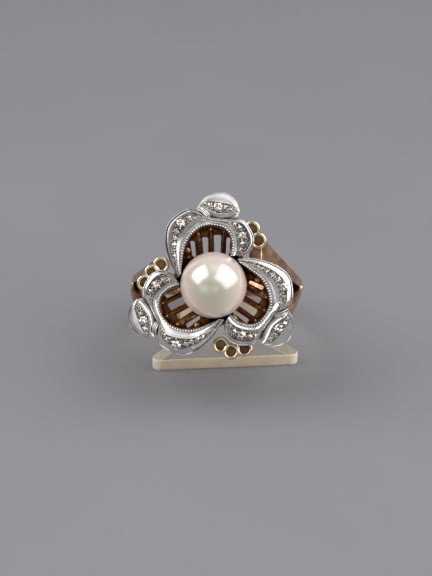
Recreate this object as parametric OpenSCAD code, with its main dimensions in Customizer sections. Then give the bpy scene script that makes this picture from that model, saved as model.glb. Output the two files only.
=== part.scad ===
// Cocktail ring with a pearl and three stone-set petals, held on a clear clip stand.
// The head faces -Y and leans back; +Z is up and the floor is z = 0.
// Petal shapes are given in the head's own plane: x right, y up, z out, pearl centre at zero.

/* [Pearl] */
// Diameter of the pearl
pearl_d = 8; // [7.7:0.1:8.1]
// Diameter of the gold post inside the pearl
post_d = 0.8; // [0.7:0.05:0.9]

/* [Finger ring] */
// Inside diameter of the finger hole
finger_d = 17.5; // [17.3:0.1:17.7]
// Thickness of the band
band_t = 1.4; // [1.3:0.05:1.5]
// Width of the band
band_w = 2.6; // [2.4:0.1:2.7]
// Depth of the bridge's top below the centre of the pearl
bridge_z = 5.2; // [5.2:0.05:5.4]
// Half the width across the two shoulders
shoulder_x = 10.7; // [10.6:0.05:10.8]
// Thickness of a shoulder arm
arm_t = 1.2; // [1.1:0.05:1.3]
// Diameter of the ball in each fork
ball_d = 0.9; // [0.8:0.1:1.1]

/* [Petals] */
// Height of the stone-set crest above the centre of the pearl
crest_top = 0.75; // [0.65:0.05:0.85]
// Thickness of a petal under its crest
petal_t = 1; // [0.9:0.05:1]
// Slope of the bevel between the opening and the crest
bevel_in = 0.45; // [0.35:0.05:0.5]
// Slope of the bevel outside the crest
bevel_out = 0.6; // [0.5:0.05:0.65]

/* [Basket] */
// Thickness of the basket's wall
basket_t = 0.42; // [0.38:0.02:0.46]
// Radius of the basket's foot
foot_r = 2.5; // [2.3:0.1:2.6]
// Diameter of the wire of the loops
wire_d = 0.42; // [0.35:0.01:0.42]
// Outside diameter of one wire loop
loop_d = 2.04; // [1.9:0.02:2.1]

/* [Clip stand] */
// Height of the pearl's centre above the floor
head_h = 15.6; // [15.5:0.1:16]
// How far the head leans back from upright
head_tilt = 30; // [29.5:0.5:30.5]
// Width of the foot's front edge
foot_w = 18.5; // [17.7:0.1:19]
// Distance of the foot's front edge behind the pearl's centre
foot_front = 6; // [5.5:0.1:6.5]
// Thickness of the acrylic strip
strip_t = 1.6; // [1.5:0.05:1.65]
// Turn of the stand under the ring, about the palm side of the band
stand_turn = 7; // [0:0.5:8]
// How far left of the band's middle the stand holds it
stand_left = 0.6; // [0:0.1:0.8]

/* [Hidden] */

// Gap kept between pieces
gap = 0.06;
// Place of the pearl's centre in front of the middle of the whole
head_y = -10.298;
pearl_r = pearl_d / 2;
finger_r = finger_d / 2;
band_r = finger_r + band_t;
hole_z = bridge_z + band_r;

// Crest of the petals: highest at crest_r from the pearl's axis, falling on both sides
crest_r = 6.6;
crest_fall = 0.035;
function crest_z(p) = crest_top - crest_fall * pow(norm([p.x, p.y]) - crest_r, 2);

// Arch of a petal, from the tail of its large crescent over the top to the end of its small one.
// Columns: opening edge x, y; outer edge x, y; where the crest starts and ends, across the arch
ARCH = [
    [-3.95, 1.30, -4.25, 0.85, 0.40, 0.60],
    [-3.80, 2.70, -5.40, 2.90, 0.36, 0.70],
    [-3.50, 4.55, -5.97, 5.50, 0.38, 0.70],
    [-2.72, 5.92, -5.50, 7.50, 0.36, 0.76],
    [-1.65, 6.85, -3.55, 9.03, 0.42, 0.76],
    [-0.95, 7.06, -2.10, 8.92, 0.46, 0.74],
    [-0.25, 7.16, -0.90, 8.20, 0.55, 0.65],
    [ 0.95, 6.90,  1.45, 7.95, 0.55, 0.65],
    [ 1.80, 6.10,  3.45, 7.85, 0.30, 0.82],
    [ 2.14, 5.00,  4.72, 6.00, 0.24, 0.82],
    [ 2.06, 4.10,  4.50, 4.45, 0.26, 0.80],
    [ 1.95, 3.55,  3.55, 3.66, 0.30, 0.70]];

// Fan-shaped lobe at a petal's tip, from its left corner to its right one, in the same columns
LOBE = [
    [-2.00, 9.22, -2.05, 9.42, 0.40, 0.60],
    [-1.40, 8.92, -1.57, 10.15, 0.35, 0.75],
    [-0.60, 8.45, -0.75, 10.90, 0.24, 0.68],
    [ 0.40, 8.05,  0.40, 11.27, 0.19, 0.62],
    [ 1.40, 8.05,  1.60, 11.02, 0.22, 0.60],
    [ 2.25, 8.30,  2.55, 10.10, 0.28, 0.66],
    [ 2.86, 8.60,  2.98, 8.95, 0.40, 0.60]];

// Large stones of a petal. Columns: x, y, diameter
CRESCENT_STONE = [-4.10, 7.35, 1.15];
SIDE_STONE = [3.31, 6.02, 0.95];
TIP_STONE = [0.36, 9.40, 1.15];

// Small stones of a petal: the large crescent's, the small crescent's and the lobe's
SMALL_STONES = [
    [-3.05, 7.95, 0.62],
    [-2.38, 7.92, 0.42],
    [-4.60, 6.28, 0.66],
    [-4.74, 5.50, 0.58],
    [-4.78, 4.78, 0.50],
    [-4.76, 4.10, 0.44],
    [-4.68, 3.48, 0.38],
    [-4.58, 2.92, 0.32],
    [2.98, 6.98, 0.50],
    [2.45, 7.42, 0.36],
    [3.43, 5.05, 0.50],
    [3.20, 4.36, 0.34],
    [-0.62, 9.72, 0.50],
    [-1.22, 9.80, 0.36],
    [1.30, 9.36, 0.50],
    [1.92, 9.20, 0.38]];
STONES = concat([CRESCENT_STONE, SIDE_STONE, TIP_STONE], SMALL_STONES);

// Slots in the basket under a petal. Columns: x of the middle, y of the outer end, width
SLOTS = [
    [-2.75, 5.3, 0.50],
    [-1.24, 5.8, 0.65],
    [ 0.27, 6.1, 0.85],
    [ 1.62, 5.8, 0.50]];

// Middles of the wire loops beside each petal's small crescent. Columns: x, y
LOOPS_A = [[4.50, 6.85], [5.28, 5.47]];
LOOPS_B = [[4.22, 7.13], [4.88, 5.75], [5.20, 4.40]];
LOOPS_C = [[4.60, 7.15], [5.77, 5.94], [5.75, 4.50]];

module in_head() {
    translate([0, head_y, head_h]) rotate([90 - head_tilt, 0, 0]) children();
}

module around_petal(i) {
    in_head() rotate([0, 0, 120 * i]) children();
}

// Point at t on the smooth curve from row b to row c, between their neighbours a and d
function curve_row(a, b, c, d, t) =
    b + t * (c - a) / 2 + t * t * (2 * a - 5 * b + 4 * c - d) / 2
    + t * t * t * (3 * b - a - 3 * c + d) / 2;

// The rows with steps new rows for each old one, along a smooth curve
function smooth_rows(rows, steps) =
    let (last = len(rows) - 1)
    concat(
        [for (i = [0 : last - 1], k = [0 : steps - 1])
            curve_row(rows[max(i - 1, 0)], rows[i], rows[i + 1], rows[min(i + 2, last)], k / steps)],
        [rows[last]]);

// Closed solid through rings that all have the same number of points
module loft(rings) {
    count = len(rings[0]);
    last = len(rings) - 1;
    polyhedron(
        points = [for (ring = rings) each ring],
        faces = concat(
            [[for (j = [0 : count - 1]) count - 1 - j]],
            [for (i = [0 : last - 1], j = [0 : count - 1], half = [0, 1])
                let (a = i * count + j, b = i * count + (j + 1) % count)
                half == 0 ? [a, b + count, a + count] : [a, b, b + count]],
            [[for (j = [0 : count - 1]) last * count + j]]));
}

// Rows made between two of a petal's table, and how far the lobe's inner side reaches under the arch
petal_steps = 3;
lobe_tab = 0.5;
// Thickness of a petal's outer edge, and how far its underside is set in from that edge
edge_t = 0.4 * petal_t;
under_set_in = 0.12;

// Section across a petal: opening edge, inner bevel, crest, outer bevel, outer edge and underside.
// tab is how far the section's lower inner corner reaches under what lies inside it
function petal_ring(row, tab) =
    let (
        rim = [row[0], row[1]],
        edge = [row[2], row[3]],
        w = norm(edge - rim),
        out = (edge - rim) / w,
        a = rim + out * w * row[4],
        b = rim + out * w * row[5],
        rim_z = crest_z(a) - bevel_in * w * row[4],
        edge_z = crest_z(b) - bevel_out * w * (1 - row[5]),
        low = rim - out * tab,
        under = edge - out * min(under_set_in, w / 4),
        middle = (a + b) / 2
    )
    [[low.x, low.y, rim_z - petal_t / 2],
     [rim.x, rim.y, rim_z],
     [a.x, a.y, crest_z(a)],
     [b.x, b.y, crest_z(b)],
     [edge.x, edge.y, edge_z],
     [under.x, under.y, edge_z - edge_t],
     [middle.x, middle.y, crest_z(middle) - petal_t]];

// Depth, table radius and crown height of a stone of diameter 1
pavilion = 0.4;
table_r = 0.29;
crown = 0.15;

// Stone with a table, eight crown facets and eight pavilion facets, its girdle at z = 0
module stone(d) {
    rotate_extrude($fn = 8)
        polygon([[0, -pavilion * d], [d / 2, 0], [table_r * d, crown * d], [0, crown * d]]);
}

// Girdles lie just below the crest
girdle_z = 0.04;
// Height of the hole that a seat cuts above a girdle
seat_h = 1;

module at_stone(s) {
    translate([s.x, s.y, crest_z(s) - girdle_z]) children();
}

module seat(d) {
    hull() {
        cylinder(r = d / 2 + gap, h = seat_h, $fn = 8);
        translate([0, 0, -pavilion * d - gap]) cylinder(r = gap, h = gap, $fn = 8);
    }
}

module petal(i) {
    color("gainsboro") around_petal(i) difference() {
        union() {
            loft([for (row = smooth_rows(ARCH, petal_steps)) petal_ring(row, 0)]);
            loft([for (row = smooth_rows(LOBE, petal_steps)) petal_ring(row, lobe_tab)]);
        }
        for (s = STONES) at_stone(s) seat(s[2]);
    }
}

module single_stone(i, s) {
    color("aliceblue") around_petal(i) at_stone(s) stone(s[2]);
}

module pave(i) {
    color("aliceblue") around_petal(i) for (s = SMALL_STONES) at_stone(s) stone(s[2]);
}

// Seat under the basket: how far it stands above the bridge, and its whole height
seat_rise = 0.1;
seat_pad_h = 0.7;

// Basket: a bowl whose rim follows the three openings, no nearer to the axis than notch_r
basket_top = -0.5;
basket_bottom = -bridge_z + 0.45;
notch_r = 4.6;
levels = 5;
// Rows made between two of the arch's table
rim_steps = 2;

function turned(p, angle) =
    [p.x * cos(angle) - p.y * sin(angle), p.x * sin(angle) + p.y * cos(angle)];

function clear_of_pearl(p) = p * max(1, notch_r / norm(p));

// Rim of the bowl, anticlockwise, as plan points
RIM = let (rows = smooth_rows(ARCH, rim_steps), last = len(rows) - 1)
    [for (k = [0 : 2], i = [0 : last])
        clear_of_pearl(turned([rows[last - i][0], rows[last - i][1]], 120 * k))];

function bowl_point(p, t, out) =
    let (foot = p / norm(p) * foot_r, q = foot + (p - foot) * sin(90 * t) + p / norm(p) * out * basket_t)
    [q.x, q.y, basket_bottom + (basket_top - basket_bottom) * t - out * basket_t / 2 * (1 - t)];

module bowl() {
    rings = [for (p = RIM) concat(
        [for (l = [0 : levels - 1]) bowl_point(p, l / (levels - 1), 0)],
        [for (l = [levels - 1 : -1 : 0]) bowl_point(p, l / (levels - 1), 1)])];
    count = 2 * levels;
    total = len(rings);
    polyhedron(
        points = [for (ring = rings) each ring],
        faces = [for (i = [0 : total - 1], j = [0 : count - 1], half = [0, 1])
            let (
                a = i * count + j,
                b = i * count + (j + 1) % count,
                c = (i + 1) % total * count + j,
                d = (i + 1) % total * count + (j + 1) % count)
            half == 0 ? [a, d, b] : [a, c, d]]);
}

// The slots start beside the foot and end at their own y, lower than the basket's rim
slot_start = 3.6;
slot_bottom = basket_bottom - 1;
slot_h = basket_top - 0.5 - slot_bottom;
// Width of a slot's inner end as a part of its outer end's
slot_taper = 0.8;

module slot(s) {
    lean = s.x / slot_start / 4;
    hull() {
        translate([s.x - s[2] / 2, s.y - s[2], slot_bottom]) cube([s[2], s[2], slot_h]);
        translate([s.x - lean, slot_start, slot_bottom])
            cylinder(d = s[2] * slot_taper, h = slot_h, $fn = 12);
    }
}

// Round floor of the basket, a little wider than the foot of its wall, over the shank's seat
floor_z = seat_rise + gap - bridge_z;
floor_t = 0.5;
floor_r = foot_r + basket_t + 0.15;

module gallery() {
    color("goldenrod") in_head() difference() {
        union() {
            bowl();
            translate([0, 0, floor_z]) cylinder(r = floor_r, h = floor_t, $fn = 48);
        }
        for (k = [0 : 2], s = SLOTS) rotate([0, 0, 120 * k]) slot(s);
    }
}

loops_z = -0.52;
module loops(i, middles) {
    color("gold") around_petal(i) for (p = middles) translate([p.x, p.y, loops_z])
        rotate_extrude($fn = 48) translate([(loop_d - wire_d) / 2, 0]) circle(d = wire_d, $fn = 24);
}

// Cup under the pearl, on the basket's foot, with the post that goes into the pearl
cup_bottom = floor_z + floor_t + gap;
cup_top = -0.83 * pearl_r;
cup_t = 0.35;
stem_r = 0.9;
post_top = -0.4 * pearl_r;
// How far cutting shapes run on past the pearl
past = 1;

module pearl_cup() {
    color("goldenrod") in_head() union() {
        difference() {
            intersection() {
                sphere(r = pearl_r + gap + cup_t, $fn = 64);
                translate([0, 0, -pearl_r - past])
                    cylinder(r = pearl_r / 2, h = pearl_r + past + cup_top, $fn = 48);
            }
            sphere(r = pearl_r + gap, $fn = 64);
        }
        translate([0, 0, cup_bottom])
            cylinder(r = stem_r, h = -pearl_r - gap - cup_bottom, $fn = 32);
        translate([0, 0, cup_bottom]) cylinder(d = post_d, h = post_top - cup_bottom, $fn = 32);
    }
}

module pearl() {
    color("ivory") in_head() difference() {
        sphere(r = pearl_r, $fn = 64);
        translate([0, 0, -pearl_r - past])
            cylinder(r = post_d / 2 + gap, h = pearl_r + past + post_top + gap, $fn = 32);
    }
}

// Curve from a to c, steered by b, and its outline as a ribbon of the half width half_t
function bend(a, b, c, t) = a * (1 - t) * (1 - t) + b * 2 * t * (1 - t) + c * t * t;
function bend_side(a, b, c, t) =
    let (d = (b - a) * (1 - t) + (c - b) * t) [-d.y, d.x] / norm(d);
ribbon_steps = 9;
function ribbon(a, b, c, half_t) =
    let (ts = [for (k = [0 : ribbon_steps]) k / ribbon_steps])
    concat(
        [for (t = ts) bend(a, b, c, t) + bend_side(a, b, c, t) * half_t],
        [for (k = [ribbon_steps : -1 : 0]) bend(a, b, c, ts[k]) - bend_side(a, b, c, ts[k]) * half_t]);

// Arms. Columns: side of the ring, 1 for right and -1 for left; x and y of the top end, under the
// loops and the petals, both in the head's frame; y where the arm passes the shoulder; half its
// width at the top end
ARMS = [
    [ 1, 4.4,  5.0,  0.35, 1.55],
    [-1, 5.9,  2.3,  0.35, 1.05],
    [ 1, 7.9, -5.1, -0.60, 0.80],
    [-1, 7.9, -5.1, -0.60, 0.80]];
// Heights where an arm leaves the band and where it swells out most, and height of its flat top
root_z = -6;
swell_z = 5;
arm_top_z = hole_z + loops_z - wire_d / 2 - gap;
// Half width of an arm at its root. waist draws it in at the shoulder
root_half_w = 1.15;
waist = -0.25;
// How far an arm's curves run on past its flat top and below its root
run_on = 0.6;
root_run = 1;
// Half the height and the whole width of the room that holds an arm
reach = 16;
arm_steps = 16;

// Arm on the right: its side view and its front view, each pushed through and cut off flat.
// It comes over the band to the shoulder, and from there it runs straight to its end
module arm(end_x, end_y, shoulder_y, top_half_w) {
    root_x = sqrt(pow(band_r - arm_t / 2, 2) - root_z * root_z);
    far_x = shoulder_x - arm_t / 2;
    shoulder = 1 / (1 + sqrt((far_x - end_x) / (far_x - root_x)));
    swell_x = root_x + (far_x - root_x) / shoulder;
    ts = [for (k = [0 : arm_steps]) k / arm_steps];
    function rise(t) = bend(root_z - root_run, swell_z, arm_top_z + run_on, t);
    function past_shoulder(t) = pow(max(0, t - shoulder) / (1 - shoulder), 2);
    function middle_y(t) = shoulder_y * min(1, t / shoulder) + (end_y - shoulder_y) * past_shoulder(t);
    function half_w(t) = bend(root_half_w, waist, top_half_w, t);
    side_outline = ribbon([root_x, root_z], [swell_x, swell_z], [end_x, arm_top_z + run_on], arm_t / 2);
    front_outline = concat(
        [for (t = ts) [middle_y(t) - half_w(t), rise(t)]],
        [for (k = [arm_steps : -1 : 0]) [middle_y(ts[k]) + half_w(ts[k]), rise(ts[k])]]);
    intersection() {
        rotate([90, 0, 0]) linear_extrude(height = reach, center = true) polygon(side_outline);
        rotate([90, 0, 90]) linear_extrude(height = reach) polygon(front_outline);
        translate([0, -reach / 2, arm_top_z - 2 * reach]) cube([reach, reach, 2 * reach]);
    }
}

// Half section of the band, with rounded-off corners. The flat inner side is at finger_r
function band_section(c) = [
    [finger_r, c - band_w / 2], [finger_r + c, -band_w / 2], [band_r - 2 * c, -band_w / 2],
    [band_r, 2 * c - band_w / 2], [band_r, band_w / 2 - 2 * c], [band_r - 2 * c, band_w / 2],
    [finger_r + c, band_w / 2], [finger_r, band_w / 2 - c]];

band_corner = 0.25;
// Ball in a fork: how far its middle lies inside the shoulder's outermost point, its y and its height
ball_in = 0.35;
ball_y = -0.1;
ball_z = 4;

module shank() {
    color("rosybrown") in_head() translate([0, 0, -hole_z]) union() {
        rotate([90, 0, 0]) rotate_extrude($fn = 96) polygon(band_section(band_corner));
        translate([0, 0, band_r + seat_rise - seat_pad_h]) cylinder(r = foot_r, h = seat_pad_h, $fn = 48);
        for (a = ARMS) mirror([1 - a[0], 0, 0]) arm(a[1], a[2], a[3], a[4]);
        for (side = [-1, 1]) translate([side * (shoulder_x - ball_in), ball_y, ball_z])
            sphere(d = ball_d, $fn = 24);
    }
}

// Stand, built about the middle of the band's palm side: the strip lies on the floor,
// then curls up round the band
palm = hole_z + finger_r + band_t / 2;
palm_y = head_y + palm * cos(head_tilt);
palm_z = head_h - palm * sin(head_tilt);
front_y = foot_front - palm * cos(head_tilt);
corner_r = 0.85;
strip_w = 10;
tongue_w = 3.8;
// The curl's outer radius reaches just below the floor, where it is cut flat
curl_r = palm_z + 0.15;
curl_start = 190;
curl_turn = 250;
// How much narrower than the curl the strip ends, on each side
end_set_in = 0.3;

module clip_stand() {
    half = foot_w / 2;
    end_w = tongue_w - 2 * end_set_in;
    taper_y = front_y + 2 * corner_r + half - strip_w / 2;
    color("lightyellow") translate([-stand_left, palm_y, 0]) rotate([0, 0, stand_turn]) union() {
        linear_extrude(height = strip_t)
            polygon([[corner_r - half, front_y], [half - corner_r, front_y],
                [half, front_y + corner_r], [half - corner_r / 2, front_y + 2 * corner_r],
                [strip_w / 2, taper_y], [strip_w / 2, -palm_z], [end_w / 2, 0],
                [-end_w / 2, 0], [-strip_w / 2, -palm_z], [-strip_w / 2, taper_y],
                [corner_r / 2 - half, front_y + 2 * corner_r], [-half, front_y + corner_r]]);
        for (side = [-1, 1]) translate([side * (half - corner_r), front_y + corner_r, 0])
            cylinder(r = corner_r, h = strip_t, $fn = 32);
        intersection() {
            translate([0, 0, palm_z]) rotate([0, -90, 0]) rotate([0, 0, curl_start - curl_turn])
                union() {
                    rotate_extrude(angle = curl_turn, $fn = 64)
                        translate([curl_r - strip_t, -tongue_w / 2]) square([strip_t, tongue_w]);
                    translate([curl_r - strip_t / 2, 0, -tongue_w / 2])
                        cylinder(d = strip_t, h = tongue_w, $fn = 32);
                }
            translate([-tongue_w, -2 * curl_r, 0]) cube([2 * tongue_w, 4 * curl_r, 3 * curl_r]);
        }
    }
}

shank();
gallery();
loops(0, LOOPS_A);  // loops_a
loops(1, LOOPS_B);  // loops_b
loops(2, LOOPS_C);  // loops_c
petal(0);  // petal_a
petal(1);  // petal_b
petal(2);  // petal_c
pearl_cup();
pearl();
single_stone(0, CRESCENT_STONE);  // crescent_stone_a
single_stone(1, CRESCENT_STONE);  // crescent_stone_b
single_stone(2, CRESCENT_STONE);  // crescent_stone_c
single_stone(0, SIDE_STONE);  // side_stone_a
single_stone(1, SIDE_STONE);  // side_stone_b
single_stone(2, SIDE_STONE);  // side_stone_c
single_stone(0, TIP_STONE);  // tip_stone_a
single_stone(1, TIP_STONE);  // tip_stone_b
single_stone(2, TIP_STONE);  // tip_stone_c
pave(0);  // pave_a
pave(1);  // pave_b
pave(2);  // pave_c
clip_stand();
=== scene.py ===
# Looks of a pearl cocktail ring on a clear clip stand: fine petals, cut stones, metals, light and camera.
# Lengths of the ring are in millimetres and head coordinates: x right, y up, z out, pearl centre at zero.
import math
import random

import bpy
from mathutils import Matrix, Vector


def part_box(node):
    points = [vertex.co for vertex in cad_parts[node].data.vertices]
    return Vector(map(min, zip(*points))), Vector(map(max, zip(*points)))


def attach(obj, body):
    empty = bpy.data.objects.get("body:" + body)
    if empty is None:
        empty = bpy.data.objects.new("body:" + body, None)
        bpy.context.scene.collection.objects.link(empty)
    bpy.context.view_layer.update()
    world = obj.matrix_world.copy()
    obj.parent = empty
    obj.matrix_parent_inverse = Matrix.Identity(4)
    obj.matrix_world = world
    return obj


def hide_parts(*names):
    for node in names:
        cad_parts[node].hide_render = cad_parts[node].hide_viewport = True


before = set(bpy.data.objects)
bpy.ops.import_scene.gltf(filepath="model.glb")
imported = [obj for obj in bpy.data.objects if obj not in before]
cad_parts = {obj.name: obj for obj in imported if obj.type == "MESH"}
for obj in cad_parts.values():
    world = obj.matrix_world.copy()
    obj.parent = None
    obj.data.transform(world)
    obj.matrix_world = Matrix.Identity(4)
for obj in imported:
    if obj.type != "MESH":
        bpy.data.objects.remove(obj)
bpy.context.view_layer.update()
random.seed(7)

MM = 0.001
HEAD_TILT = 30
PETALS = "abc"
PEARL_LOW, PEARL_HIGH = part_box("pearl")
PEARL_CENTRE = (Vector(PEARL_LOW) + Vector(PEARL_HIGH)) / 2
PEARL_R = (PEARL_HIGH[0] - PEARL_LOW[0]) / 2 / MM
HEAD = (
    Matrix.Translation(PEARL_CENTRE)
    @ Matrix.Rotation(math.radians(90 - HEAD_TILT), 4, "X")
    @ Matrix.Scale(MM, 4)
)


def petal_frame(i):
    return HEAD @ Matrix.Rotation(math.radians(120 * i), 4, "Z")


# Shape of the petals, as the solids have it
PETAL_T, BEVEL_OUT = 1.0, 0.6
CREST_TOP, CREST_R, CREST_FALL = 0.75, 6.6, 0.035
GIRDLE_DROP = 0.04

# Arch of a petal: opening edge x, y; outer edge x, y; where the crest starts and ends, across the arch
ARCH = [
    (-3.95, 1.30, -4.25, 0.85, 0.40, 0.60),
    (-3.80, 2.70, -5.40, 2.90, 0.36, 0.70),
    (-3.50, 4.55, -5.97, 5.50, 0.38, 0.70),
    (-2.72, 5.92, -5.50, 7.50, 0.36, 0.76),
    (-1.65, 6.85, -3.55, 9.03, 0.42, 0.76),
    (-0.95, 7.06, -2.10, 8.92, 0.46, 0.74),
    (-0.25, 7.16, -0.90, 8.20, 0.55, 0.65),
    (0.95, 6.90, 1.45, 7.95, 0.55, 0.65),
    (1.80, 6.10, 3.45, 7.85, 0.30, 0.82),
    (2.14, 5.00, 4.72, 6.00, 0.24, 0.82),
    (2.06, 4.10, 4.50, 4.45, 0.26, 0.80),
    (1.95, 3.55, 3.55, 3.66, 0.30, 0.70),
]

# Fan-shaped lobe at the tip, from its left corner to its right one, in the same columns
LOBE = [
    (-2.00, 9.22, -2.05, 9.42, 0.40, 0.60),
    (-1.40, 8.92, -1.57, 10.15, 0.35, 0.75),
    (-0.60, 8.45, -0.75, 10.90, 0.24, 0.68),
    (0.40, 8.05, 0.40, 11.27, 0.19, 0.62),
    (1.40, 8.05, 1.60, 11.02, 0.22, 0.60),
    (2.25, 8.30, 2.55, 10.10, 0.28, 0.66),
    (2.86, 8.60, 2.98, 8.95, 0.40, 0.60),
]

# Stones of a petal: x, y, diameter
LARGE_STONES = {
    "crescent": (-4.10, 7.35, 1.15),
    "side": (3.31, 6.02, 0.95),
    "tip": (0.36, 9.40, 1.15),
}
SMALL_STONES = [
    (-3.05, 7.95, 0.62),
    (-2.38, 7.92, 0.42),
    (-4.60, 6.28, 0.66),
    (-4.74, 5.50, 0.58),
    (-4.78, 4.78, 0.50),
    (-4.76, 4.10, 0.44),
    (-4.68, 3.48, 0.38),
    (-4.58, 2.92, 0.32),
    (2.98, 6.98, 0.50),
    (2.45, 7.42, 0.36),
    (3.43, 5.05, 0.50),
    (3.20, 4.36, 0.34),
    (-0.62, 9.72, 0.50),
    (-1.22, 9.80, 0.36),
    (1.30, 9.36, 0.50),
    (1.92, 9.20, 0.38),
]
STONES = [*LARGE_STONES.values(), *SMALL_STONES]


def crest_z(x, y):
    return CREST_TOP - CREST_FALL * (math.hypot(x, y) - CREST_R) ** 2


def smooth_rows(rows, steps):
    """The rows with steps new rows for each old one, on a smooth curve."""
    made = []
    for i in range(len(rows) - 1):
        a, b, c = rows[max(i - 1, 0)], rows[i], rows[i + 1]
        d = rows[min(i + 2, len(rows) - 1)]
        for k in range(steps):
            t = k / steps
            made.append(
                tuple(
                    q + t * (r - p) / 2 + t**2 * (2 * p - 5 * q + 4 * r - s) / 2
                    + t**3 * (3 * q - p - 3 * r + s) / 2
                    for p, q, r, s in zip(a, b, c, d)
                )
            )
    made.append(rows[-1])
    return made


def circle(radius, z=0.0, sides=64, middle=(0, 0)):
    """Points of a level circle."""
    turns = [math.tau * k / sides for k in range(sides)]
    return [Vector((middle[0] + radius * math.cos(t), middle[1] + radius * math.sin(t), z)) for t in turns]


class Shape:
    """Gathers points and faces of one mesh."""

    def __init__(self):
        self.points = []
        self.faces = []

    def add(self, points, faces):
        start = len(self.points)
        self.points += points
        self.faces += [[start + k for k in face] for face in faces]

    def loft(self, rings, closed=False):
        """Skin through rings of equal length, closed on itself or capped at both ends."""
        n = len(rings[0])
        last = len(rings) if closed else len(rings) - 1
        faces = []
        for i in range(last):
            j = (i + 1) % len(rings)
            for k in range(n):
                m = (k + 1) % n
                faces.append([i * n + k, i * n + m, j * n + m, j * n + k])
        if not closed:
            faces.append(list(reversed(range(n))))
            faces.append([(len(rings) - 1) * n + k for k in range(n)])
        self.add([p for ring in rings for p in ring], faces)

    def ball(self, centre, radii, turn=None, rings=4, sides=8):
        """Small ball or grain with three radii, turned by a matrix."""
        turn = turn or Matrix.Identity(3)
        points = [Vector((0, 0, radii[2]))]
        for i in range(1, rings):
            a = math.pi * i / rings
            for k in range(sides):
                b = math.tau * k / sides
                points.append(
                    Vector((
                        radii[0] * math.sin(a) * math.cos(b),
                        radii[1] * math.sin(a) * math.sin(b),
                        radii[2] * math.cos(a),
                    ))
                )
        points.append(Vector((0, 0, -radii[2])))
        faces = [[0, 1 + k, 1 + (k + 1) % sides] for k in range(sides)]
        for i in range(rings - 2):
            for k in range(sides):
                a, b = 1 + i * sides + k, 1 + i * sides + (k + 1) % sides
                faces.append([a, a + sides, b + sides, b])
        last = len(points) - 1
        faces += [[last, last - sides + (k + 1) % sides, last - sides + k] for k in range(sides)]
        self.add([Vector(centre) + turn @ p for p in points], faces)

    def wire(self, path, radius, sides=10, closed=False, flat=1.0):
        """Round wire along a path. flat below 1 presses it flat along z."""
        path = [Vector(p) for p in path]
        n = len(path)
        rings = []
        for i, p in enumerate(path):
            a = path[(i - 1) % n] if closed or i > 0 else p
            b = path[(i + 1) % n] if closed or i < n - 1 else p
            along = (b - a).normalized()
            side = along.cross(Vector((0, 0, 1))).normalized()
            up = side.cross(along)
            r = radius(i / (n - 1)) if callable(radius) else radius
            turns = [math.tau * k / sides for k in range(sides)]
            rings.append([p + side * r * math.cos(turn) + up * r * flat * math.sin(turn) for turn in turns])
        self.loft(rings, closed)

    def build(self, name, place, material, sharp=None):
        mesh = bpy.data.meshes.new(name)
        mesh.from_pydata([place @ Vector(p) for p in self.points], [], self.faces)
        mesh.validate()
        mesh.materials.append(material)
        obj = bpy.data.objects.new(name, mesh)
        bpy.context.collection.objects.link(obj)
        if sharp is None:
            mesh.shade_flat()
        else:
            mesh.shade_smooth()
            mesh.set_sharp_from_angle(angle=math.radians(sharp))
        return obj


def stand_in(obj, slot, *nodes):
    """obj shows in the place of these solids and rides with them."""
    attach(obj, "root")
    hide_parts(*nodes)
    return obj


def applied(obj, kind, **settings):
    """Adds one modifier and bakes it into the mesh."""
    modifier = obj.modifiers.new(kind.title(), kind)
    for key, value in settings.items():
        setattr(modifier, key, value)
    with bpy.context.temp_override(object=obj, active_object=obj, selected_objects=[obj]):
        bpy.ops.object.modifier_apply(modifier=modifier.name)


def joined(parts):
    """Makes one mesh of the parts, under the first one's name."""
    with bpy.context.temp_override(active_object=parts[0], selected_editable_objects=parts):
        bpy.ops.object.join()


# Materials


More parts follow.
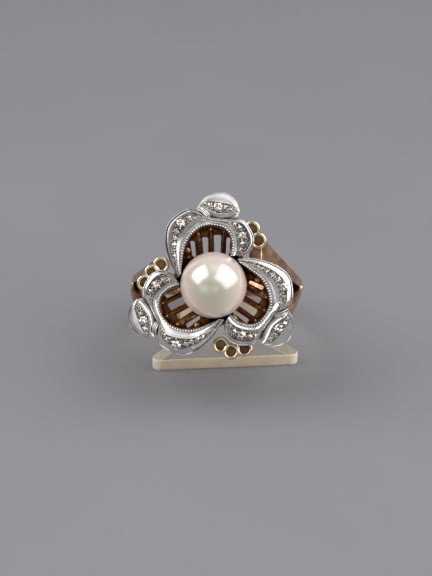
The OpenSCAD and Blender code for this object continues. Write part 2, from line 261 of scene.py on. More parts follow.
class Nodes:
    """A new material and short calls for its nodes."""

    def __init__(self, name):
        self.material = bpy.data.materials.new(name)
        self.material.use_nodes = True
        self.tree = self.material.node_tree
        self.shader = self.tree.nodes["Principled BSDF"]
        self.place = self.add("ShaderNodeTexCoord").outputs["Object"]

    def add(self, kind, **values):
        node = self.tree.nodes.new(kind)
        for key, value in values.items():
            if hasattr(node, key):
                setattr(node, key, value)
            else:
                node.inputs[key.replace("_", " ").title()].default_value = value
        return node

    def link(self, a, b):
        self.tree.links.new(a, b)

    def set(self, **values):
        for key, value in values.items():
            socket = self.shader.inputs[key.replace("_", " ")]
            socket.default_value = value

    def noise(self, size, detail=3, stretch=(1, 1, 1)):
        """Noise whose lumps are about size millimetres across."""
        mapping = self.add("ShaderNodeMapping")
        mapping.inputs["Scale"].default_value = [s / (size * MM) for s in stretch]
        self.link(self.place, mapping.inputs["Vector"])
        noise = self.add("ShaderNodeTexNoise", noise_dimensions="3D", Scale=1.0, Detail=detail)
        self.link(mapping.outputs["Vector"], noise.inputs["Vector"])
        return noise.outputs["Fac"]

    def ramp(self, value, low, high, to_low, to_high):
        node = self.add("ShaderNodeMapRange")
        node.inputs["From Min"].default_value = low
        node.inputs["From Max"].default_value = high
        node.inputs["To Min"].default_value = to_low
        node.inputs["To Max"].default_value = to_high
        self.link(value, node.inputs["Value"])
        return node.outputs["Result"]

    def mix(self, value, a, b):
        node = self.add("ShaderNodeMix", data_type="RGBA")
        self.link(value, node.inputs["Factor"])
        for socket, colour in ((node.inputs[6], a), (node.inputs[7], b)):
            if isinstance(colour, tuple):
                socket.default_value = (*colour, 1)
            else:
                self.link(colour, socket)
        return node.outputs[2]

    def bump(self, height, depth):
        """Bump of depth millimetres, laid on the bumps added before it."""
        node = self.add("ShaderNodeBump")
        node.inputs["Distance"].default_value = depth * MM
        self.link(height, node.inputs["Height"])
        normal = self.shader.inputs["Normal"]
        if normal.is_linked:
            self.link(normal.links[0].from_socket, node.inputs["Normal"])
        self.link(node.outputs["Normal"], normal)

    def corners(self, reach):
        """Occlusion mask for painted shade and grime: 1 on open faces, towards 0 in corners narrower than
        reach millimetres.
        """
        node = self.add("ShaderNodeAmbientOcclusion", samples=8)
        node.inputs["Distance"].default_value = reach * MM
        return node.outputs["AO"]


def metal(name, clean, dull, grime_and_shade, rough, reach, grime_and_shade_from, scratch):
    """Worn metal: cloudy colour, grime and painted shade darkening its corners up to reach wide, fine
    scratches and small dents.
    """
    n = Nodes(name)
    cloud = n.ramp(n.noise(1.4, 4), 0.35, 0.65, 0, 1)
    colour = n.mix(cloud, clean, dull)
    # Painted shade and grime: the colour darkens towards the given dark colour where ambient occlusion finds
    # a corner
    open_face = n.ramp(n.corners(reach), grime_and_shade_from[0], grime_and_shade_from[1], 0, 1)
    n.link(n.mix(open_face, grime_and_shade, colour), n.shader.inputs["Base Color"])
    n.link(n.ramp(n.noise(0.5, 5), 0.3, 0.7, rough[0], rough[1]), n.shader.inputs["Roughness"])
    n.bump(n.noise(0.9, 2), scratch * 2)
    n.bump(n.noise(0.12, 3, (1, 6, 1)), scratch)
    n.set(Metallic=1.0)
    return n.material


WHITE_GOLD = metal(
    "white_gold",
    clean=(0.89, 0.87, 0.84), dull=(0.68, 0.66, 0.64), grime_and_shade=(0.17, 0.15, 0.145),
    rough=(0.17, 0.30), reach=0.40, grime_and_shade_from=(0.15, 0.75), scratch=0.007,
)
# Dark metal of the sunk field, the reeded ledge and the stone seats: partly blackened patina, partly painted
# shade of these recesses
FIELD_PATINA_SHADE = metal(
    "field_patina_shade",
    clean=(0.26, 0.22, 0.19), dull=(0.15, 0.12, 0.10), grime_and_shade=(0.04, 0.03, 0.025),
    rough=(0.22, 0.38), reach=0.3, grime_and_shade_from=(0.15, 0.80), scratch=0.012,
)
# White gold painted darker: painted shade on a band that mirrors dark surroundings
SHADED_WHITE_GOLD = metal(
    "shaded_white_gold",
    clean=(0.50, 0.46, 0.46), dull=(0.36, 0.33, 0.34), grime_and_shade=(0.10, 0.09, 0.09),
    rough=(0.24, 0.38), reach=0.40, grime_and_shade_from=(0.15, 0.75), scratch=0.007,
)
# Dark brown gold of the discs inside the loops: painted shade
LOOP_SHADE = metal(
    "loop_shade",
    clean=(0.30, 0.17, 0.09), dull=(0.17, 0.09, 0.045), grime_and_shade=(0.03, 0.015, 0.008),
    rough=(0.30, 0.45), reach=0.8, grime_and_shade_from=(0.30, 0.95), scratch=0.006,
)
# Basket gold: its tone, darker than the loops' gold, is partly painted shade of the basket's inside
RIB_GOLD = metal(
    "rib_gold",
    clean=(0.66, 0.42, 0.20), dull=(0.40, 0.23, 0.10), grime_and_shade=(0.15, 0.075, 0.036),
    rough=(0.16, 0.30), reach=2.0, grime_and_shade_from=(0.05, 0.75), scratch=0.003,
)
LOOP_GOLD = metal(
    "loop_gold",
    clean=(0.92, 0.79, 0.56), dull=(0.74, 0.57, 0.35), grime_and_shade=(0.14, 0.07, 0.03),
    rough=(0.10, 0.20), reach=0.7, grime_and_shade_from=(0.15, 0.80), scratch=0.003,
)
ROSE_GOLD = metal(
    "rose_gold",
    clean=(0.80, 0.50, 0.33), dull=(0.40, 0.20, 0.12), grime_and_shade=(0.14, 0.07, 0.04),
    rough=(0.14, 0.28), reach=1.2, grime_and_shade_from=(0.10, 0.85), scratch=0.008,
)


def nacre():
    """Nacre, greenish cream, with painted light: darker and greenish where it faces outward from the head,
    lighter and rosier towards its sides, lightest below, as painted reflection and fill light.
    """
    n = Nodes("nacre")
    cloud = n.ramp(n.noise(3.5, 3), 0.35, 0.65, 0, 1)
    normal = n.add("ShaderNodeNewGeometry").outputs["Normal"]

    def facing(x, y, z):
        node = n.add("ShaderNodeVectorMath", operation="DOT_PRODUCT")
        n.link(normal, node.inputs[0])
        node.inputs[1].default_value = HEAD.to_3x3() @ Vector((x, y, z)) / MM
        return node.outputs["Value"]

    # Painted light: the outward-facing front and the upper side get darker colours, the lower sides the
    # lightest one
    front = n.mix(cloud, (0.51, 0.49, 0.39), (0.48, 0.47, 0.37))
    top = n.mix(cloud, (0.62, 0.51, 0.47), (0.59, 0.50, 0.45))
    side = n.mix(n.ramp(facing(0, 1, 0), -0.7, 0.6, 0, 1), (1.0, 0.82, 0.69), top)
    n.link(n.mix(n.ramp(facing(0, 0, 1), 0.55, 0.95, 0, 1), side, front), n.shader.inputs["Base Color"])
    n.bump(n.noise(1.1, 3), 0.006)
    n.bump(n.noise(0.16, 2), 0.0012)
    n.set(
        Roughness=0.30,
        Subsurface_Weight=0.85,
        Subsurface_Radius=(2.6 * MM, 1.7 * MM, 1.1 * MM),
        Subsurface_Scale=1.0,
        Coat_Weight=1.0,
        Coat_IOR=2.5,
        Coat_Roughness=0.21,
        Sheen_Weight=0.30,
        Sheen_Roughness=0.35,
        Sheen_Tint=(1.0, 0.80, 0.84, 1),
    )
    return n.material


def diamond():
    """Old cut stone: its inner facets show as small cells that each catch another light."""
    n = Nodes("diamond")
    # Light and dark patches of its colour: painted reflections of the facets
    cloud = n.ramp(n.noise(0.3, 2), 0.40, 0.60, 0, 1)
    n.link(n.mix(cloud, (0.92, 0.87, 0.79), (0.40, 0.34, 0.28)), n.shader.inputs["Base Color"])
    mapping = n.add("ShaderNodeMapping")
    mapping.inputs["Scale"].default_value = [1 / (0.30 * MM)] * 3
    n.link(n.place, mapping.inputs["Vector"])
    cells = n.add("ShaderNodeTexVoronoi", Scale=1.0)
    n.link(mapping.outputs["Vector"], cells.inputs["Vector"])
    n.bump(cells.outputs["Distance"], 0.10)
    n.set(Roughness=0.04, IOR=2.4, Metallic=0.85)
    return n.material


def acrylic(name, clear, dull, rough, opacity, glow):
    """Yellowed acrylic: clear on its moulded faces, frosted where it is cut."""
    n = Nodes(name)
    cloud = n.ramp(n.noise(2.5, 3), 0.3, 0.7, 0, 1)
    n.link(n.mix(cloud, clear, dull), n.shader.inputs["Base Color"])
    n.link(n.ramp(n.noise(0.8, 4), 0.3, 0.7, *rough), n.shader.inputs["Roughness"])
    n.bump(n.noise(0.25, 4), 0.004)
    n.set(IOR=1.49, Alpha=opacity, Subsurface_Weight=glow, Subsurface_Scale=1.0)
    n.set(Subsurface_Radius=(1.2 * MM, 1.0 * MM, 0.7 * MM))
    return n.material


NACRE = nacre()
DIAMOND = diamond()
CLEAR_FACE = acrylic(
    "acrylic_face", clear=(0.80, 0.78, 0.72), dull=(0.74, 0.72, 0.66),
    rough=(0.04, 0.10), opacity=0.16, glow=0.0,
)
CUT_EDGE = acrylic(
    "acrylic_cut", clear=(0.78, 0.66, 0.48), dull=(0.68, 0.56, 0.40),
    rough=(0.30, 0.50), opacity=0.95, glow=0.4,
)
# Paler acrylic for the rounded ends of the cut edge: painted light that the ends gather
PAINTED_GLOW_END = acrylic(
    "acrylic_corner_painted_glow", clear=(0.84, 0.77, 0.64), dull=(0.78, 0.70, 0.56),
    rough=(0.20, 0.35), opacity=1.0, glow=0.4,
)


# Petals

ARCH_STEPS, LOBE_STEPS, LOBE_TAB = 12, 12, 0.5
THREAD, THREAD_RISE = 0.15, 0.075
LEDGE, LEDGE_SLOPE = 0.40, 0.15
INNER_HOLLOW, OUTER_HOLLOW, FIELD_SINK = 0.08, 0.07, 0.03
FULL_WIDTH = 1.3

# Points across a petal's section: how many, and those at the ledge's edges, the field's and the outer side's
RING_POINTS = 28
LEDGE_START, LEDGE_END, FIELD_START, FIELD_END, SIDE_TOP, SIDE_LOW = 3, 4, 11, 13, 23, 24
# Faces between those points that lie on the ledge, the field and the outer band
LEDGE_FACES, FIELD_FACES, OUTER_FACES = (2, 3), (10, 11, 12, 13), range(14, 23)


def petal_ring(row, tab, slope_in, roll):
    """Section across a petal: reeded ledge, hollow inner bevel, sunk field, outer band and thread.

    With roll at 0 the outer band is a hollow bevel. With roll at 1 it is flat and rolls over at its edge.
    Where the petal is narrower than FULL_WIDTH, the fine work shrinks with it."""
    rim, edge = Vector(row[0:2]), Vector(row[2:4])
    w = (edge - rim).length
    out = (edge - rim) / w
    a, b = w * row[4], w * row[5]
    fine = min(1.0, w / FULL_WIDTH)
    thread = THREAD * fine
    ledge = min(LEDGE, a * 0.45)

    def crest(u):
        p = rim + out * u
        return crest_z(p.x, p.y)

    rim_z = crest(a) - slope_in * a
    edge_z = crest(b) - BEVEL_OUT * (w - b)
    low = rim_z - PETAL_T / 2
    middle = (a + b) / 2
    outer = w - thread
    ledge_z = rim_z + LEDGE_SLOPE * ledge

    def inner_bevel(t):
        hollow = INNER_HOLLOW * fine * math.sin(math.pi * t)
        return (ledge + (a - ledge) * t, ledge_z + (crest(a) - ledge_z) * t - hollow)

    def outer_bevel(t):
        drop = (crest(b) - edge_z) * (t + (t**6 - t) * roll)
        hollow = OUTER_HOLLOW * fine * math.sin(math.pi * t) * (1 - roll)
        return (b + (outer - b) * t, crest(b) - drop - hollow)

    sink = FIELD_SINK * fine
    profile = [
        (-tab, low),
        (0, low if tab == 0 else rim_z - 0.12),
        (0, rim_z - 0.05),
        (0.03 * fine, rim_z),
        (ledge * 0.55, rim_z + 0.12 * ledge),
        *[inner_bevel(t) for t in (0.08, 0.3, 0.55, 0.8, 0.96)],
        (a + 0.02 * fine, crest(a)),
        (a + (b - a) * 0.12, crest(a) - sink),
        (middle, crest(middle) - sink),
        (b - (b - a) * 0.12, crest(b) - sink),
        (b - 0.02 * fine, crest(b)),
        *[outer_bevel(t) for t in (0.04, 0.25, 0.5, 0.75, 1.0)],
        (outer + thread * 0.15, edge_z + 0.05 * fine),
        (outer + thread * 0.45, edge_z + THREAD_RISE * fine),
        (outer + thread * 0.8, edge_z + 0.04 * fine),
        (w, edge_z - 0.06),
        (w, edge_z - 0.2),
        (w - 0.03, edge_z - 0.38 * PETAL_T),
        (w - min(0.12, w / 4), edge_z - 0.4 * PETAL_T),
        (middle, crest(middle) - PETAL_T),
    ]
    return [Vector((*(rim + out * u), z)) for u, z in profile]


# Seat of a stone: room round the girdle and below the point, radius of the point, flare and height above
SEAT_ROOM, SEAT_BELOW, SEAT_POINT_R = 0.045, 0.06, 0.04
SEAT_FLARE, SEAT_ABOVE = 0.12, 0.35
STONE_DEPTH = 0.42


def seat_cutter(name, frame_matrix):
    """Cones that cut a seat for each stone."""
    shape = Shape()
    for x, y, d in STONES:
        z = crest_z(x, y) - GIRDLE_DROP
        r = d / 2 + SEAT_ROOM
        cone = [(SEAT_POINT_R, -STONE_DEPTH * d - SEAT_BELOW), (r, 0.0), (r + SEAT_FLARE, SEAT_ABOVE)]
        shape.loft([circle(radius, z + height, 14, (x, y)) for radius, height in cone])
    cutter = shape.build(name, frame_matrix, WHITE_GOLD)
    # The seat faces take the dark field metal: painted shade and patina inside the seats
    cutter.data.materials.append(FIELD_PATINA_SHADE)
    for face in cutter.data.polygons:
        face.material_index = 1
    return cutter


def spaced(points, pitch):
    """Points at an even pitch along a polyline, with the direction there."""
    made = []
    left = pitch / 2
    for a, b in zip(points, points[1:]):
        length = (b - a).length
        while left <= length:
            made.append((a + (b - a) * (left / length), (b - a).normalized()))
            left += pitch
        left -= length
    return made


def turned_along(along):
    """Rotation that lays x along a direction and keeps z up."""
    x = Vector(along).normalized()
    y = Vector((0, 0, 1)).cross(x).normalized()
    return Matrix((x, y, x.cross(y))).transposed()


REED_R, REED_PITCH, REED_SHORTEST = 0.105, 0.33, 0.07


def rim_reeds(shape, rings):
    """Milgrain: short reeds across the ledge beside the opening."""
    for p, along in spaced([ring[LEDGE_END] for ring in rings], REED_PITCH):
        ring = min(rings, key=lambda ring: (ring[LEDGE_END] - p).length)
        across = max(REED_SHORTEST, (ring[LEDGE_END] - ring[LEDGE_START]).length * 0.95)
        r = REED_R * random.uniform(0.9, 1.1)
        shape.ball(p, (r, across, r * 1.2), turned_along(along))


GRAIN_R, GRAINS_PER_RING = 0.07, 3


def field_grains(shape, rings):
    """Small beads strewn over the sunk field between the stones."""
    made = []
    for ring in rings:
        start, end = ring[FIELD_START], ring[FIELD_END]
        for _ in range(GRAINS_PER_RING):
            p = start.lerp(end, random.uniform(0.0, 1.0))
            r = GRAIN_R * random.uniform(0.75, 1.1)
            if (end - start).length < 3 * r:
                continue
            if any(math.hypot(p.x - u, p.y - v) < e / 2 + r * 0.6 for u, v, e in STONES):
                continue
            if all((p - q).length > 2.1 * r for q in made):
                made.append(p)
                shape.ball(p, (r, r, r))


# Reeds on the arch's outer side: their radii, pitch and drop, and the parts of the arch that have them
EDGE_REED, EDGE_PITCH, EDGE_DROP = (0.075, 0.09, 0.275), 0.21, 0.02
EDGE_REED_PARTS = [(0.05, 0.30), (0.76, 0.97)]


def edge_reeds(shape, rings, start, end):
    """Upright reeds cut into the outer side, between two parts of the rings' length."""
    first, last = int(start * (len(rings) - 1)), int(end * (len(rings) - 1))
    path = [(ring[SIDE_TOP] + ring[SIDE_LOW]) / 2 for ring in rings[first : last + 1]]
    for p, along in spaced(path, EDGE_PITCH):
        shape.ball(p + Vector((0, 0, -EDGE_DROP)), EDGE_REED, turned_along(along), rings=5, sides=6)


# Stones from this diameter on are large: more and bigger beads hold them, and they lean less
LARGE = 0.9


def grains(shape):
    """Beads raised from the metal that hold the stones, where they touch no other stone."""
    for x, y, d in STONES:
        count, r = (6, 0.10) if d > LARGE else (4, 0.075)
        for k in range(count):
            angle = math.tau * (k + 0.5) / count + math.atan2(y, x)
            px = x + (d / 2 + r * 0.75) * math.cos(angle)
            py = y + (d / 2 + r * 0.75) * math.sin(angle)
            if all(math.hypot(px - u, py - v) > e / 2 + r * 0.5 for u, v, e in STONES if (u, v) != (x, y)):
                shape.ball((px, py, crest_z(px, py) + 0.02), (r, r, r * 1.1))


# Raised lines between the lobe's left corner and the arch. Columns: start x, y; end x, y
GROOVES = [
    (-2.22, 9.18, -0.82, 7.98),
    (-2.06, 9.32, -0.66, 8.10),
    (-1.88, 9.40, -0.52, 8.24),
]
GROOVE_STEPS, GROOVE_BOW, GROOVE_DEPTH, GROOVE_RISE = 8, 0.10, 0.30, 0.14
GROOVE_END_R, GROOVE_SWELL = 0.03, 0.06


def groove_lines(shape):
    for x0, y0, x1, y1 in GROOVES:
        path = []
        for k in range(GROOVE_STEPS + 1):
            t = k / GROOVE_STEPS
            x, y = x0 + (x1 - x0) * t, y0 + (y1 - y0) * t
            bow = GROOVE_BOW * math.sin(math.pi * t)
            z = crest_z(x, y) - GROOVE_DEPTH + GROOVE_RISE * math.sin(math.pi * t)
            path.append((x + bow, y + bow, z))
        shape.wire(path, lambda t: GROOVE_END_R + GROOVE_SWELL * math.sin(math.pi * t), sides=8)


# Hand work differs a little from petal to petal. Columns: slope of the inner bevel; how far the outer
# band is flat before it rolls over, on the arch's tail, on the rest of the arch and on the lobe; rows
# of the arch over which the outer band is painted darker, as painted shade where it mirrors dark
# surroundings.
HAND = [
    (0.28, 1.00, 1.00, 0.00, 4.0),
    (0.45, 1.00, 0.30, 0.60, 0.0),
    (0.28, 0.80, 0.50, 0.00, 0.0),
]
TAIL_ROWS = 2.3


def petal(i):
    letter = PETALS[i]
    place = petal_frame(i)
    cutter = seat_cutter("cutter_" + letter, place)
    parts = []
    all_rings = []
    slope_in, tail_roll, arch_roll, lobe_roll, shaded_rows = HAND[i]
    bands = [
        (ARCH, ARCH_STEPS, 0, tail_roll, arch_roll),
        (LOBE, LOBE_STEPS, LOBE_TAB, lobe_roll, lobe_roll),
    ]
    for rows, steps, tab, start, roll in bands:
        rings = [
            petal_ring(row, tab, slope_in, start if k < TAIL_ROWS * steps else roll)
            for k, row in enumerate(smooth_rows(rows, steps))
        ]
        all_rings.append(rings)
        shape = Shape()
        shape.loft(rings)
        part = shape.build(f"part_{letter}_{tab}", place, WHITE_GOLD, sharp=35)
        part.data.materials.append(FIELD_PATINA_SHADE)
        part.data.materials.append(SHADED_WHITE_GOLD)
        for face in part.data.polygons:
            row, point = divmod(face.index, RING_POINTS)
            # Ledge and field faces take the dark field metal: partly patina, partly painted shade
            if row < len(rings) - 1 and point in LEDGE_FACES + FIELD_FACES:
                face.material_index = 1
            # The outer band over the first rows of the arch takes the darker white gold: painted shade
            elif rows == ARCH and row < shaded_rows * steps and point in OUTER_FACES:
                face.material_index = 2
        applied(part, "BOOLEAN", object=cutter, operation="DIFFERENCE", solver="EXACT")
        parts.append(part)
    bpy.data.objects.remove(cutter)
    arch, lobe = all_rings
    detail = Shape()
    rim_reeds(detail, arch)
    field_grains(detail, arch)
    field_grains(detail, lobe)
    for start, end in EDGE_REED_PARTS:
        edge_reeds(detail, arch, start, end)
    grains(detail)
    groove_lines(detail)
    parts.append(detail.build("detail_" + letter, place, WHITE_GOLD, sharp=60))
    joined(parts)
    parts[0].name = f"petal_{letter}_chased"
    stand_in(parts[0], "white_gold", "petal_" + letter)


# Stones: rings of radius, height, turn by half a facet, all for a diameter of 1
CUT = [
    (0.29, 0.150, 0),
    (0.42, 0.080, 1),
    (0.50, 0.012, 0),
    (0.50, -0.012, 0),
    (0.27, -0.200, 1),
    (0.03, -0.400, 0),
]
FACETS = 8


def add_stone(shape, x, y, d):
    z = crest_z(x, y) - GIRDLE_DROP
    spin = random.uniform(0, math.tau)
    most = 0.12 if d > LARGE else 0.18
    lean_x = Matrix.Rotation(random.uniform(-most, most), 3, "X")
    lean_y = Matrix.Rotation(random.uniform(-most, most), 3, "Y")
    lean = lean_x @ lean_y
    points = []
    for radius, height, half in CUT:
        for k in range(FACETS):
            angle = spin + math.tau * (k + half / 2) / FACETS
            corner = Vector((radius * d * math.cos(angle), radius * d * math.sin(angle), height * d))
            points.append(lean @ corner)
    faces = [list(range(FACETS)), [(len(CUT) - 1) * FACETS + k for k in reversed(range(FACETS))]]
    for i, (upper, lower) in enumerate(zip(CUT, CUT[1:])):
        for k in range(FACETS):
            m = (k + 1) % FACETS
            a, b = i * FACETS + k, i * FACETS + m
            c, e = a + FACETS, b + FACETS
            if upper[2] == lower[2]:
                faces.append([a, c, e, b])
            elif lower[2]:
                faces += [[a, c, b], [b, c, e]]
            else:
                faces += [[a, e, b], [a, c, e]]
    shape.add([Vector((x, y, z)) + p for p in points], faces)


def stones(i):
    letter, place = PETALS[i], petal_frame(i)
    for kind, (x, y, d) in LARGE_STONES.items():
        shape = Shape()
        add_stone(shape, x, y, d)
        gem = shape.build(f"{kind}_gem_{letter}", place, DIAMOND)
        stand_in(gem, "diamond", f"{kind}_stone_{letter}")
    field = Shape()
    for x, y, d in SMALL_STONES:
        add_stone(field, x, y, d)
    stand_in(field.build("pave_gems_" + letter, place, DIAMOND), "diamond", "pave_" + letter)


# Pearl


def pearl():
    shape = Shape()
    shape.ball((0, 0, 0), (PEARL_R, PEARL_R, PEARL_R), rings=64, sides=128)
    ball = shape.build("pearl_nacre", HEAD, NACRE, sharp=60)
    stand_in(ball, "pearl", "pearl")


# Wire loops beside each petal's small crescent: middle x, y, lean in degrees
LOOPS = [
    [(4.50, 6.85, 5), (5.28, 5.47, 4)],
    [(4.22, 7.13, 5), (4.88, 5.75, 4), (5.20, 4.40, 2)],
    [(4.60, 7.15, 5), (5.77, 5.94, 4), (5.75, 4.50, 2)],
]
LOOP_Z, WIRE_R, LOOP_R = -0.53, 0.225, 0.80
LOOP_POINTS, LOOP_WAVE = 56, 0.012
# Heights of the underside and the top of the thin dark disc in each loop, from the middle of the wire. The
# discs are painted shade seen through the loops
LOOP_SHADE_DISC = (-0.18, -0.03)


def loops(i):
    wires, shade_discs = Shape(), Shape()
    for x, y, lean in LOOPS[i]:
        tip = Matrix.Rotation(math.radians(lean), 3, Vector((y, -x, 0)))
        middle = Vector((x, y, LOOP_Z))
        path = []
        for k, p in enumerate(circle(LOOP_R, sides=LOOP_POINTS)):
            p.z = LOOP_WAVE * math.sin(math.tau * 3 * k / LOOP_POINTS)
            path.append(middle + tip @ p)
        wires.wire(path, WIRE_R, sides=14, closed=True)
        # Dark discs inside the loops: painted shade seen through them
        shade_discs.loft([[middle + tip @ p for p in circle(LOOP_R, z, LOOP_POINTS)] for z in LOOP_SHADE_DISC])
    parts = [
        wires.build("wire_loops_" + PETALS[i], petal_frame(i), LOOP_GOLD, sharp=60),
        shade_discs.build("shade_discs_" + PETALS[i], petal_frame(i), LOOP_SHADE, sharp=60),
    ]
    joined(parts)
    stand_in(parts[0], "yellow_gold", "loops_" + PETALS[i])


# Basket: a bowl whose rim follows the three openings, cut by slots into ribs
BASKET_TOP, BASKET_BOTTOM, FOOT_R, BASKET_T, NOTCH_R = -0.5, -4.75, 2.5, 0.42, 4.6
BASKET_LEVELS, RIM_STEPS = 14, 6
FLOOR_Z, FLOOR_T, FLOOR_R = -5.04, 0.5, 3.07
SLOTS = [(-2.75, 5.3, 0.50), (-1.24, 5.8, 0.65), (0.27, 6.1, 0.85), (1.62, 5.8, 0.50)]
SLOT_START, SLOT_TAPER, SLOT_PULL = 3.6, 0.8, 0.25
VOXEL = 0.07


def basket_rim():
    """Points round the top of the basket: the edges of the three openings, at least NOTCH_R out."""
    rows = smooth_rows(ARCH, RIM_STEPS)
    points = []
    for k in range(3):
        turn = Matrix.Rotation(math.radians(120 * k), 2)
        for row in reversed(rows):
            p = turn @ Vector(row[0:2])
            points.append(p * max(1.0, NOTCH_R / p.length))
    return points


# Ribs between the slots: x of the middle, half width
RIBS = [(-3.45, 0.36), (-2.03, 0.40), (-0.53, 0.34), (1.03, 0.30), (2.20, 0.34)]
RIB_RISE, RIB_INWARD, RIB_REACH = 0.16, 0.7, 0.97
RIB_POINTS, RIB_STEP, RIB_LEAD = 15, 0.26, 0.4
RIB_NARROW, RIB_SPREAD = 0.93, 0.07


def rib_paths():
    """Middle lines of the ribs on the basket's inner wall, with their half widths."""
    rim = basket_rim()
    for k in range(3):
        turn = Matrix.Rotation(math.radians(120 * k), 2)
        for x, half in RIBS:
            path = []
            for j in range(RIB_POINTS):
                y = SLOT_START - RIB_LEAD + j * RIB_STEP
                p = turn @ Vector((x * (RIB_NARROW + RIB_SPREAD * j / (RIB_POINTS - 1)), y))
                far = max(rim, key=lambda q: q.normalized().dot(p.normalized())).length
                part = (p.length - FOOT_R) / (far - FOOT_R)
                if 0 < part < RIB_REACH:
                    t = math.asin(part) / (math.pi / 2)
                    z = BASKET_BOTTOM + (BASKET_TOP - BASKET_BOTTOM) * t
                    inward = -p.normalized() * RIB_INWARD * part
                    path.append(Vector((*(p + inward * RIB_RISE), z + RIB_RISE * 0.4)))
            yield path, half


def slot_cutter():
    """Slots with a square outer end and a narrower round inner end."""
    shape = Shape()
    sides = 16
    for k in range(3):
        turn = Matrix.Rotation(math.radians(120 * k), 3, "Z")
        for x, y_end, w in SLOTS:
            inner_x = x - x / SLOT_START * SLOT_PULL
            outline = []
            for j in range(sides):
                a = math.tau * j / sides
                if math.sin(a) > 1e-6:
                    square = w / 2 / max(abs(math.cos(a)), abs(math.sin(a)))
                    outline.append((x + square * math.cos(a), y_end - w / 2 + square * math.sin(a)))
                else:
                    r = w * SLOT_TAPER / 2
                    outline.append((inner_x + r * math.cos(a), SLOT_START + r * math.sin(a)))
            rings = [
                [turn @ Vector((*p, z)) for p in outline] for z in (BASKET_BOTTOM - 1, BASKET_TOP - 0.5)
            ]
            shape.loft(rings)
    return shape.build("cutter_slots", HEAD, RIB_GOLD)


def basket():
    rings = []
    for p in basket_rim():
        n = p.normalized()
        ring = []
        for side in (0, 1):
            levels = range(BASKET_LEVELS)
            for level in levels if side == 0 else reversed(levels):
                t = level / (BASKET_LEVELS - 1)
                q = n * FOOT_R + (p - n * FOOT_R) * math.sin(math.pi / 2 * t) + n * side * BASKET_T
                z = BASKET_BOTTOM + (BASKET_TOP - BASKET_BOTTOM) * t - side * BASKET_T / 2 * (1 - t)
                ring.append(Vector((*q, z)))
        rings.append(ring)
    shape = Shape()
    shape.loft(rings, closed=True)
    shape.loft([circle(FLOOR_R, z) for z in (FLOOR_Z, FLOOR_Z + FLOOR_T)])
    bowl = shape.build("basket_ribs", HEAD, RIB_GOLD)
    applied(bowl, "REMESH", mode="VOXEL", voxel_size=VOXEL * MM)
    cutter = slot_cutter()
    applied(bowl, "BOOLEAN", object=cutter, operation="DIFFERENCE", solver="EXACT")
    bpy.data.objects.remove(cutter)
    bars = Shape()
    for path, half in rib_paths():
        bars.wire(path, lambda t: half * min(1, 0.35 + (1 - t) * 3), sides=12, flat=0.6)
    ribs = bars.build("ribs", HEAD, RIB_GOLD)
    joined([bowl, ribs])
    applied(bowl, "REMESH", mode="VOXEL", voxel_size=VOXEL * MM)
    applied(bowl, "SMOOTH", factor=0.5, iterations=6)
    bowl.data.shade_smooth()
    stand_in(bowl, "yellow_gold", "gallery")


# Shank and stand: the solids with their edges worn round


def softened(node, name, material, slot, voxel, rounds):
    """A copy of a solid with its edges worn round, shown in its place."""
    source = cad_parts[node]
    mesh = source.data.copy()
    mesh.materials.clear()
    mesh.materials.append(material)
    obj = bpy.data.objects.new(name, mesh)
    bpy.context.collection.objects.link(obj)
    obj.matrix_world = source.matrix_world.copy()
    applied(obj, "REMESH", mode="VOXEL", voxel_size=voxel * MM)
    applied(obj, "SMOOTH", factor=0.5, iterations=rounds)
    obj.data.shade_smooth()
    return stand_in(obj, slot, node)


# Balls in the forks of the shoulders: place of the right one, and radius
FORK_BALL, FORK_BALL_R = (10.42, -0.1, -11.3), 0.48


def shank():
    band = softened("shank", "shank_worn", ROSE_GOLD, "rose_gold", 0.08, 10)
    balls = Shape()
    for side in (-1, 1):
        balls.ball((side * FORK_BALL[0], *FORK_BALL[1:]), [FORK_BALL_R] * 3, rings=12, sides=24)
    joined([band, balls.build("fork_balls", HEAD, LOOP_GOLD, sharp=60)])


# Turn of the stand in degrees, thickness of its strip, and length of its corners painted paler, as painted
# light gathered at the rounded ends
STAND_TURN, STRIP_T, CORNER_LENGTH = 7.0, 1.6, 1.0
# How far back the foot is flat, in metres. Behind it the strip curls up
FLAT_END = 0.006


def stand():
    """The clip stand, clear on its faces and frosted on its cut edges, with painted light on the rounded
    ends of the cut edges.
    """
    obj = softened("clip_stand", "clip_strip", CLEAR_FACE, "acrylic", 0.13, 4)
    mesh = obj.data
    mesh.materials.append(CUT_EDGE)
    mesh.materials.append(PAINTED_GLOW_END)
    across = Vector((math.cos(math.radians(STAND_TURN)), math.sin(math.radians(STAND_TURN)), 0))
    ends = [side * max(side * across.dot(v.co) for v in mesh.vertices) for side in (-1, 1)]
    for face in mesh.polygons:
        normal, height = face.normal, face.center.z / MM
        flat_part = height < STRIP_T + 0.1
        in_foot = flat_part and face.center.y < FLAT_END
        cut = abs(normal.z) < 0.75 if in_foot else abs(normal.dot(across)) > 0.6
        near_end = min(abs(across.dot(face.center) - end) for end in ends) / MM
        # Cut faces near the ends take the paler acrylic: painted light
        face.material_index = 0 if not cut else 2 if near_end < CORNER_LENGTH else 1


# Light, floor and camera

# Camera: yaw and rise in degrees, distance in metres, lens; how far the pearl sits from the picture's middle
CAMERA_YAW, CAMERA_RISE, CAMERA_DISTANCE, LENS = 2.4, 30.0, 0.25, 129.7
PEARL_LEFT, PEARL_ABOVE = 0.30 * MM, 0.35 * MM


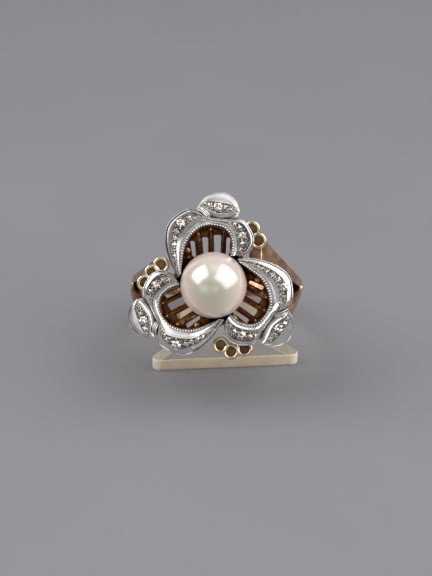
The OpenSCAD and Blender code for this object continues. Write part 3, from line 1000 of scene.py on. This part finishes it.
def camera():
    yaw, rise = math.radians(CAMERA_YAW), math.radians(CAMERA_RISE)
    back = Vector((math.sin(yaw) * math.cos(rise), -math.cos(yaw) * math.cos(rise), math.sin(rise)))
    turn = back.to_track_quat("Z", "Y")
    aim = PEARL_CENTRE + turn @ Vector((PEARL_LEFT, -PEARL_ABOVE, 0))
    data = bpy.data.cameras.new("camera")
    data.lens = LENS
    data.clip_start, data.clip_end = 0.01, 10
    obj = bpy.data.objects.new("camera", data)
    obj.location = aim + back * CAMERA_DISTANCE
    obj.rotation_mode = "QUATERNION"
    obj.rotation_quaternion = turn
    bpy.context.collection.objects.link(obj)
    bpy.context.scene.camera = obj


def floor():
    n = Nodes("floor_paper")
    cloud = n.ramp(n.noise(30, 4), 0.3, 0.7, 0, 1)
    n.link(n.mix(cloud, (0.205, 0.202, 0.215), (0.196, 0.193, 0.206)), n.shader.inputs["Base Color"])
    n.bump(n.noise(0.5, 4), 0.02)
    n.set(Roughness=0.85)
    shape = Shape()
    half = 3.0
    corners = [(-half, -half, 0), (half, -half, 0), (half, half, 0), (-half, half, 0)]
    shape.add([Vector(p) for p in corners], [[0, 1, 2, 3]])
    shape.build("floor", Matrix.Identity(4), n.material)


# Soft boxes that the pearl mirrors. Columns: direction from the pearl, width, height, radiance
BOX_DISTANCE = 0.40
BOXES = {
    "left_box": ((-0.700, -0.125, 0.703), 0.37, 0.37, 3.2),
    "right_box": ((0.718, -0.195, 0.668), 0.54, 0.50, 2.6),
}


def soft_box(name, direction, width, height, radiance):
    data = bpy.data.lights.new(name, "AREA")
    data.shape = "RECTANGLE"
    data.size, data.size_y = width, height
    data.energy = radiance * math.pi * width * height
    obj = bpy.data.objects.new(name, data)
    towards = Vector(direction).normalized()
    obj.location = PEARL_CENTRE + towards * BOX_DISTANCE
    obj.rotation_mode = "QUATERNION"
    obj.rotation_quaternion = towards.to_track_quat("Z", "Y")
    bpy.context.collection.objects.link(obj)


# Room with soft patches on its walls. Columns: direction; inner and outer half angle in degrees;
# radiance added to the room's own
ROOM_LIGHT, ROOM_TINT = 0.155, (0.97, 0.97, 1.0)
ROOM_PATCHES = [
    ((0.10, 0.03, 0.99), 8, 22, 0.75),
    ((-0.50, -0.85, 0.14), 8, 24, 0.75),
    ((0.13, -0.95, 0.28), 4, 16, 0.60),
    ((0.20, -0.55, 0.81), 6, 18, 0.60),
    ((0.05, 0.55, 0.84), 20, 60, 0.20),
    ((0.0, -0.87, 0.50), 6, 16, -0.05),
    ((-0.35, -0.57, 0.74), 5, 25, -0.05),
]


def room():
    world = bpy.data.worlds.new("room")
    world.use_nodes = True
    tree = world.node_tree
    background = tree.nodes["Background"]
    background.inputs["Color"].default_value = (*ROOM_TINT, 1)
    direction = tree.nodes.new("ShaderNodeTexCoord").outputs["Generated"]
    total = None
    for towards, inner, outer, radiance in ROOM_PATCHES:
        near = tree.nodes.new("ShaderNodeVectorMath")
        near.operation = "DOT_PRODUCT"
        tree.links.new(direction, near.inputs[0])
        near.inputs[1].default_value = Vector(towards).normalized()
        patch = tree.nodes.new("ShaderNodeMapRange")
        patch.interpolation_type = "SMOOTHSTEP"
        patch.inputs["From Min"].default_value = math.cos(math.radians(outer))
        patch.inputs["From Max"].default_value = math.cos(math.radians(inner))
        patch.inputs["To Max"].default_value = radiance
        tree.links.new(near.outputs["Value"], patch.inputs["Value"])
        sum_up = tree.nodes.new("ShaderNodeMath")
        sum_up.operation = "ADD"
        sum_up.inputs[1].default_value = ROOM_LIGHT
        if total:
            tree.links.new(total, sum_up.inputs[1])
        tree.links.new(patch.outputs["Result"], sum_up.inputs[0])
        total = sum_up.outputs["Value"]
    tree.links.new(total, background.inputs["Strength"])
    bpy.context.scene.world = world


for i in range(3):
    petal(i)
    stones(i)
    loops(i)
pearl()
basket()
shank()
stand()
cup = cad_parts["pearl_cup"]
cup.data.materials.clear()
cup.data.materials.append(RIB_GOLD)

camera()
floor()
for name, values in BOXES.items():
    soft_box(name, *values)
room()
bpy.context.scene.view_settings.view_transform = "Standard"
